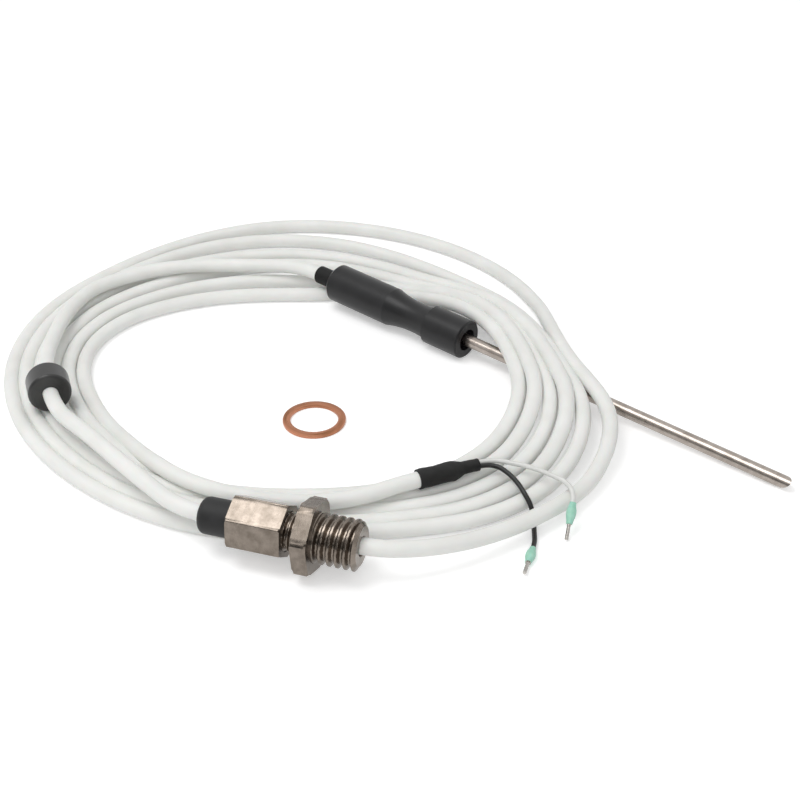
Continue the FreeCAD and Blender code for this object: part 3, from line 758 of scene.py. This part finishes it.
@dataclass
class Ferrule:
    """Crimped end of a lead: a barrel collar and a tinned pin."""

    colour: str
    seat: Seat
    collar: float = 2.9
    lip: float = 1.9
    throat: float = 1.8
    collar_length: float = 6.4
    root: float = 1.6
    pin: float = 1.1
    pin_length: float = 4.5
    lead: float = 1.45
    bite: float = 1.5
    flat_depth: float = 0.06
    rib_depth: float = 0.045
    rib_pitch: float = 0.9
    rib_end: float = 0.6
    ring_count: int = 40

    def crimp(self, along: float, out: float, angle: float) -> float:
        """Bites of the crimping jaws: four flats and cross ribs on the pin's free length.

        Args:
            along: Place along the ferrule, mm.
            out: Distance from the axis before crimping, mm.
            angle: Angle round the axis.

        Returns:
            The distance from the axis, mm.
        """
        free = along - self.collar_length
        if free < 0.5 or out < 0.3:
            return out
        flat = self.flat_depth * (1.0 - math.cos(4 * angle)) / 2
        if free >= self.pin_length - self.rib_end:
            return out - flat
        return out - flat - self.rib_depth * (1.0 + math.cos(2 * math.pi * free / self.rib_pitch)) / 2

    def build(self) -> list[bpy.types.Object]:
        """Turns the collar and the pin.

        Returns:
            Both pieces.
        """
        wide, narrow, hole = self.collar / 2, self.throat / 2, self.lead / 2 + 0.02
        end = self.collar_length
        cup = [(0.0, hole), (0.0, self.lip / 2), (end * 0.16, self.lip / 2 + 0.1), (end * 0.32, wide - 0.08),
               (end * 0.48, wide), (end * 0.64, wide - 0.1), (end * 0.84, narrow + 0.12), (end, narrow),
               (end, self.root / 2), (self.bite, self.root / 2), (self.bite, hole)]
        collar_name, pin_name = f"{self.colour}_collar", f"{self.colour}_pin"
        collar = place(collar_name, Turned.mesh(collar_name, Turned.rounded(cup, 0.25), 48), self.seat, MINT_PLASTIC,
                       Body.PROBE, "mint_plastic", (f"{self.colour}_ferrule_collar",))
        tip = end + self.pin_length
        thick, thin = self.root / 2, self.pin / 2
        shank = [(self.bite, 0.02), (self.bite, thick), (end, thick), (end + 0.01, thin)]
        shank += [(end + self.pin_length * k / self.ring_count, thin) for k in range(1, self.ring_count)]
        shank += [(tip - 0.04, thin), (tip, thin - 0.12), (tip, 0.02)]
        pin = place(pin_name, Turned.mesh(pin_name, shank, 48, False, self.crimp), self.seat, TINNED_COPPER,
                    Body.PROBE, "tinned_copper", (f"{self.colour}_ferrule_pin",))
        return [collar, pin]


@dataclass
class Cable:
    """The white cable in its two lengths, the two leads, and the pieces on them."""

    cord_diameter: float = 4.8
    lead_diameter: float = 1.45
    lead_side: float = 0.925
    probe_length: float = 0.252
    coil_length: float = 3.05
    black_length: float = 0.044
    white_length: float = 0.039
    in_sleeve: tuple[float, float] = (-60.0, -69.0)
    sleeve_mouth: float = -65.0
    in_stop: tuple[float, float] = (-13.0, 13.0)
    in_boot: tuple[float, float] = (-6.0, 5.0)
    stud_mouth: float = 46.06
    in_splitter: tuple[float, float] = (16.9, 20.6)
    splitter_mouth: float = 18.9
    in_collar: tuple[float, float] = (-2.7, 1.5)
    route: CoilRoute = field(default_factory=CoilRoute)
    splitter: SplitterSleeve = field(default_factory=SplitterSleeve)
    from_grip: tuple[Point, ...] = (
        (-104.5, 59.6, 8.6), (-113.8, 54.2, 7.9), (-122.9, 47.4, 7.7), (-131.8, 40.2, 7.6),
        (-139.4, 31.2, 7.5), (-144.4, 19.6, 7.5), (-147.0, 7.0, 7.6), (-143.6, -5.0, 7.9),
        (-136.4, -16.6, 8.9), (-127.0, -28.6, 10.2),
    )
    to_boot: tuple[Point, ...] = (
        (-76.4, -58.3, 11.9), (-59.0, -61.8, 12.2), (-42.0, -64.6, 11.8),
    )
    black_way: tuple[Point, ...] = (
        (24.9, 8.3, 8.3), (29.0, 7.8, 8.0), (33.2, 6.5, 7.4), (37.2, 4.5, 6.4), (39.8, 3.8, 4.3),
        (41.0, 3.2, 2.2), (42.9, 1.2, 1.1), (45.6, -2.4, 0.9),
    )
    white_way: tuple[Point, ...] = (
        (23.4, 9.9, 8.8), (27.7, 11.4, 8.9), (32.2, 12.4, 9.3), (36.9, 12.6, 9.7), (41.5, 12.3, 10.1),
        (45.6, 12.2, 10.2),
    )

    def build(self) -> None:
        probe_side = self.probe_side()
        probe_side.declare(probe_side.build(), [dress_solid("cable_stop", STOP_RUBBER)])
        long_side = self.long_side()
        long_side.declare(long_side.build(), [self.splitter.build()])
        black = self.lead("black", -self.lead_side, self.black_way, BLACK_SEAT, BLACK_LEAD, self.black_length)
        black.declare(black.build(), Ferrule("black", BLACK_SEAT).build())
        white = self.lead("white", self.lead_side, self.white_way, WHITE_SEAT, WHITE_LEAD, self.white_length)
        white.declare(white.build(), Ferrule("white", WHITE_SEAT).build())
        for node in ("cable_in_handle", "cable_in_fitting", "cable_seal"):
            dress_solid(node, SILICONE)

    def probe_side(self) -> Cord:
        """The cable from the grip through the stop to the gland's boot."""
        points = [*map(PROBE_SEAT.point, self.in_sleeve), *self.from_grip, *map(STOP_SEAT.point, self.in_stop),
                  *self.to_boot, *map(GLAND_SEAT.point, self.in_boot)]
        return Cord("probe_side_cable", points, self.cord_diameter, SILICONE, "cord_jacket",
                    PROBE_SEAT.point(self.sleeve_mouth), self.probe_length, FarEnd.OBJECT, Lay.LOOSE,
                    ("probe_cable",))

    def long_side(self) -> Cord:
        """The cable from the stud through the coil to the splitter sleeve."""
        return Cord("coiled_cable", self.route.points(), self.cord_diameter, SILICONE, "cord_jacket",
                    GLAND_SEAT.point(self.stud_mouth), self.coil_length, FarEnd.FITTING, Lay.COILED,
                    ("cable_coil", "cable_from_stud", "cable_at_splitter"))

    def lead(self, colour: str, side: float, way: Sequence[Point], seat: Seat, finish: Finish, length: float) -> Cord:
        """A thin lead from the splitter sleeve to its ferrule.

        Args:
            colour: Colour in the lead's name.
            side: Distance from the sleeve's axis, mm.
            way: Points between the sleeve and the ferrule, mm.
            seat: Seat of the ferrule.
            finish: Finish of the lead.
            length: Its length, metres.

        Returns:
            The lead.
        """
        points = [*(SPLITTER_SEAT.point(along, side) for along in self.in_splitter), *way,
                  *map(seat.point, self.in_collar)]
        return Cord(f"{colour}_lead_cord", points, self.lead_diameter, finish, f"{colour}_insulation",
                    SPLITTER_SEAT.point(self.splitter_mouth, side), length, FarEnd.FITTING, Lay.LOOSE,
                    (f"{colour}_lead",), 4, Stiffness.LIMP)


@dataclass
class Probe:
    """Spike, grip and what is inside them."""

    def build(self) -> None:
        """Dresses the solids of the probe."""
        dress_solid("probe_tube", DRAWN_STEEL)
        dress_solid("handle_grip", GRIP_PLASTIC)
        dress_solid("handle_sleeve", SLEEVE_RUBBER)
        dress_solid("sensor_element", SENSOR_BEAD)
        for node in ("sensor_leads", "lead_splices", "cable_cores"):
            dress_solid(node, TINNED_COPPER)


@dataclass(frozen=True)
class Thread:
    """Outside thread: crest radius, depth and pitch, between two places on the axis, mm."""

    start: float
    end: float
    crest: float
    depth: float
    pitch: float

    def reach(self, along: float, angle: float) -> float:
        """Distance of the thread's flank from the axis.

        Args:
            along: Place along the axis, mm.
            angle: Angle round the axis.

        Returns:
            The distance, mm, with flat crests, flat roots and a runout at both ends.
        """
        turn = (along / self.pitch - angle / (2 * math.pi)) % 1.0
        slope = abs(2 * turn - 1)
        rise = min(1.0, max(0.0, (slope - 0.2) / 0.58))
        runout = min(1.0, max(0.0, (along - self.start) / 0.8), max(0.0, (self.end - along) / 0.5 + 0.35))
        return self.crest - self.depth * (1.0 - rise) * runout

    def profile(self, step: float = 0.1) -> Profile:
        """Places along the crest line, close enough to show the flanks.

        Args:
            step: Distance between places, mm.

        Returns:
            The places.
        """
        count = round((self.end - self.start) / step)
        return [(self.start + (self.end - self.start) * k / count, self.crest) for k in range(count + 1)]


@dataclass
class Gland:
    """Wall gland: threaded body with a hexagon flange, clamp cap, boot and washer; lengths in mm."""

    cap_start: float = 9.66
    cap_end: float = 25.16
    cap_flats: float = 14.0
    cap_roll: float = 6.0
    flange_start: float = 29.2
    flange_end: float = 33.75
    flange_flats: float = 19.0
    flange_roll: float = -9.0
    stud_end: float = 46.06
    bore: float = 2.65
    stub_mouth: float = 4.4
    boot_hole: float = 4.6
    boot_lip: float = 3.1
    cap_play: float = 0.1
    flange_bevel: tuple[float, float] = (0.45, 0.75)
    cap_bevel: tuple[float, float] = (0.3, 0.45)
    sides: int = 144
    stub: Thread = Thread(17.8, 29.2, 5.5, 0.75, 1.5)
    stud: Thread = Thread(33.75, 45.2, 7.0, 1.15, 2.3)
    washer_outer: float = 9.8
    washer_inner: float = 7.4
    washer_height: float = 1.2

    @staticmethod
    def hexagon(flats: float, roll: float, out: float, angle: float) -> float:
        """Distance to a hexagon bar that is turned down to a radius.

        Args:
            flats: Width over flats, mm.
            roll: Turn of the corner away from straight up, degrees.
            out: Radius that the bar is turned down to, mm.
            angle: Angle round the axis.

        Returns:
            The distance from the axis, mm.
        """
        off = (angle - math.radians(roll) + math.pi / 6) % (math.pi / 3) - math.pi / 6
        return min(out, flats / 2 / math.cos(math.pi / 6 - abs(off)))

    def body_reach(self, along: float, out: float, angle: float) -> float:
        """Outside of the body: stub thread, hexagon flange or stud thread.

        Args:
            along: Place along the axis, mm.
            out: Distance from the axis in the profile, mm.
            angle: Angle round the axis.

        Returns:
            The distance from the axis, mm.
        """
        if out > self.stud.crest + 0.1:
            return self.hexagon(self.flange_flats, self.flange_roll, out, angle)
        if out == self.stub.crest:
            return self.stub.reach(along, angle)
        if out == self.stud.crest:
            return self.stud.reach(along, angle)
        return out

    def cap_reach(self, along: float, out: float, angle: float) -> float:
        """Outside of the cap: a hexagon bar with broken corners."""
        if out <= self.cap_flats / 2 - 0.3:
            return out
        return self.hexagon(self.cap_flats, self.cap_roll, out, angle)

    def build(self) -> None:
        """Makes the body, the cap and the washer, and dresses the boot and the hidden rings."""
        self.make_body()
        self.make_cap()
        self.make_washer()
        dress_solid("fitting_boot", BLACK_RUBBER)
        dress_solid("thrust_ring", PLATED_BRASS)

    def make_body(self) -> None:
        """One turned piece: stub, flange and stud, with the bore right through."""
        corner = self.flange_flats / math.sqrt(3)
        stud_root = self.stud.crest - self.stud.depth
        a, b, end = self.flange_start, self.flange_end, self.stud_end
        run, drop = self.flange_bevel
        outline = [(self.stub.start, self.bore), (self.stub.start, self.stub_mouth), *self.stub.profile(),
                   (a, corner - 2 * drop), (a, corner - drop), (a + run, corner + 0.1), (b - run, corner + 0.1),
                   (b, corner - drop), (b, corner - 2 * drop), *self.stud.profile(), (end - 0.3, stud_root),
                   (end, stud_root - 0.35), (end, self.bore + 0.3), (end - 0.3, self.bore)]
        mesh = Turned.mesh("gland_metal", outline, self.sides, shaper=self.body_reach)
        place("gland_metal", mesh, GLAND_SEAT, PLATED_BRASS, Body.PROBE, "gland_metal", ("gland_body",), 28.0)

    def make_cap(self) -> None:
        """Long hexagon cap, hollow over the stub and open round the boot."""
        corner = self.cap_flats / math.sqrt(3)
        flat = self.cap_flats / 2 - 0.25
        a, b = self.cap_start, self.cap_end
        run, drop = self.cap_bevel
        inside = self.stub.crest + self.cap_play
        outline = [(a, self.boot_hole), (a, flat), (a, corner - drop), (a + run, corner + 0.05),
                   (b - run, corner + 0.05), (b, corner - drop), (b, flat), (b, inside), (a + self.boot_lip, inside),
                   (a + self.boot_lip, self.boot_hole)]
        mesh = Turned.mesh("cap_metal", outline, self.sides, shaper=self.cap_reach)
        place("cap_metal", mesh, GLAND_SEAT, PLATED_BRASS, Body.CAP, "gland_metal", ("clamp_cap",), 28.0)

    def make_washer(self) -> None:
        """Flat ring with rounded edges, turned up from the X axis to lie on the floor."""
        flat = [(0.0, self.washer_inner), (0.0, self.washer_outer), (self.washer_height, self.washer_outer),
                (self.washer_height, self.washer_inner)]
        mesh = Turned.mesh("washer_ring", Turned.rounded(flat, 0.35), self.sides)
        mesh.transform(Matrix.Rotation(math.radians(-90.0), 4, "Y"))
        place("washer_ring", mesh, WASHER_SEAT, TURNED_COPPER, Body.PROBE, "copper", ("sealing_washer",))


@dataclass
class Stage:
    """White floor, soft lamps and the camera at the photograph's angle."""

    lens: float = 67.5
    distance: float = 0.475
    elevation: float = 33.0
    azimuth: float = 39.3
    aim: Point = (-26.93, 27.35, 0.0)
    floor_half: float = 3.0
    floor_grey: float = 0.9
    floor_glow: float = 0.34
    sky: float = 0.54
    dim_side: float = 0.12
    dim_from: float = 0.25
    dim_to: float = 0.55

    def build(self) -> None:
        """Sets up the floor, the world, the lamps, the camera and the view transform."""
        self.floor()
        self.world()
        self.lamp("key_lamp", (-0.19, -0.24, 0.80), 0.44, 2.7)
        self.lamp("fill_lamp", (0.40, -0.60, 0.60), 0.6, 1.7)
        self.camera()
        bpy.context.scene.view_settings.view_transform = "Standard"

    def seen(self, graph: Graph) -> bpy.types.NodeSocket:
        """A mask of the rays that see the background: camera, glossy and transmission rays.

        Args:
            graph: Graph to add it to.

        Returns:
            The mask's output.
        """
        path = graph.add("ShaderNodeLightPath")
        gloss = graph.add("ShaderNodeMath", operation="MAXIMUM")
        graph.link(path.outputs["Is Camera Ray"], gloss.inputs[0])
        graph.link(path.outputs["Is Glossy Ray"], gloss.inputs[1])
        clear = graph.add("ShaderNodeMath", operation="MAXIMUM")
        graph.link(gloss.outputs[0], clear.inputs[0])
        graph.link(path.outputs["Is Transmission Ray"], clear.inputs[1])
        return clear.outputs[0]

    def floor(self) -> None:
        """Large white sheet that keeps the shadow."""
        built = bmesh.new()
        bmesh.ops.create_grid(built, x_segments=4, y_segments=4, size=self.floor_half)
        mesh = bpy.data.meshes.new("floor_sheet")
        built.to_mesh(mesh)
        built.free()
        sheet = bpy.data.objects.new("floor_sheet", mesh)
        bpy.context.scene.collection.objects.link(sheet)
        white = bpy.data.materials.new("floor_white")
        white.use_nodes = True
        graph = Graph(white.node_tree)
        shader = white.node_tree.nodes["Principled BSDF"]
        shader.inputs["Base Color"].default_value = (*(self.floor_grey,) * 3, 1.0)
        shader.inputs["Roughness"].default_value = 0.9
        shader.inputs["Specular IOR Level"].default_value = 0.0
        glow = graph.add("ShaderNodeEmission", Color=(1.0, 1.0, 1.0, 1.0))
        strength = graph.add("ShaderNodeMath", operation="MULTIPLY")
        graph.link(self.seen(graph), strength.inputs[0])
        strength.inputs[1].default_value = self.floor_glow
        graph.link(strength.outputs[0], glow.inputs["Strength"])
        both = graph.add("ShaderNodeAddShader")
        graph.link(shader.outputs[0], both.inputs[0])
        graph.link(glow.outputs[0], both.inputs[1])
        graph.link(both.outputs[0], white.node_tree.nodes["Material Output"].inputs["Surface"])
        mesh.materials.append(white)

    def world(self) -> None:
        """White behind the object, the dim side of a studio before it, and a softer sky for its light."""
        world = bpy.data.worlds.new("studio")
        bpy.context.scene.world = world
        world.use_nodes = True
        graph = Graph(world.node_tree)
        back = world.node_tree.nodes["Background"]
        back.inputs["Color"].default_value = (1.0, 1.0, 1.0, 1.0)
        way = graph.add("ShaderNodeTexCoord").outputs["Generated"]
        round_z = math.radians(self.azimuth)
        front = graph.add("ShaderNodeVectorMath", operation="DOT_PRODUCT")
        front.inputs[1].default_value = (math.sin(round_z), -math.cos(round_z), 0.0)
        graph.link(way, front.inputs[0])
        dim = graph.add("ShaderNodeMapRange", From_Min=self.dim_from, From_Max=self.dim_to, To_Min=1.0,
                        To_Max=self.dim_side)
        graph.link(front.outputs["Value"], dim.inputs["Value"])
        bright = graph.add("ShaderNodeMix", A=self.sky)
        graph.link(self.seen(graph), bright.inputs["Factor"])
        graph.link(dim.outputs["Result"], bright.inputs["B"])
        graph.link(bright.outputs["Result"], back.inputs["Strength"])

    def lamp(self, name: str, place: Point, size: float, power: float) -> None:
        """A square soft lamp that faces the object.

        Args:
            name: Name of the lamp.
            place: Where it hangs, metres.
            size: Length of its sides, metres.
            power: Watts.
        """
        data = bpy.data.lights.new(name, "AREA")
        data.size = size
        data.energy = power
        lamp = bpy.data.objects.new(name, data)
        bpy.context.scene.collection.objects.link(lamp)
        lamp.location = place
        lamp.rotation_euler = (Vector(self.aim) * MM - Vector(place)).to_track_quat("-Z", "Y").to_euler()

    def camera(self) -> None:
        """The camera, aimed from the photograph's side."""
        data = bpy.data.cameras.new("photo_camera")
        data.lens = self.lens
        data.sensor_width = 36.0
        data.clip_start = 0.01
        camera = bpy.data.objects.new("photo_camera", data)
        bpy.context.scene.collection.objects.link(camera)
        low, round_z = math.radians(self.elevation), math.radians(self.azimuth)
        back = Vector((math.sin(round_z) * math.cos(low), -math.cos(round_z) * math.cos(low), math.sin(low)))
        camera.location = Vector(self.aim) * MM + back * self.distance
        camera.rotation_euler = (-back).to_track_quat("-Z", "Y").to_euler()
        bpy.context.scene.camera = camera


def main() -> None:
    """Builds the stage, then the pieces."""
    logging.basicConfig(level=logging.INFO)
    Stage().build()
    Cable().build()
    Probe().build()
    Gland().build()


if __name__ == "__main__":
    main()
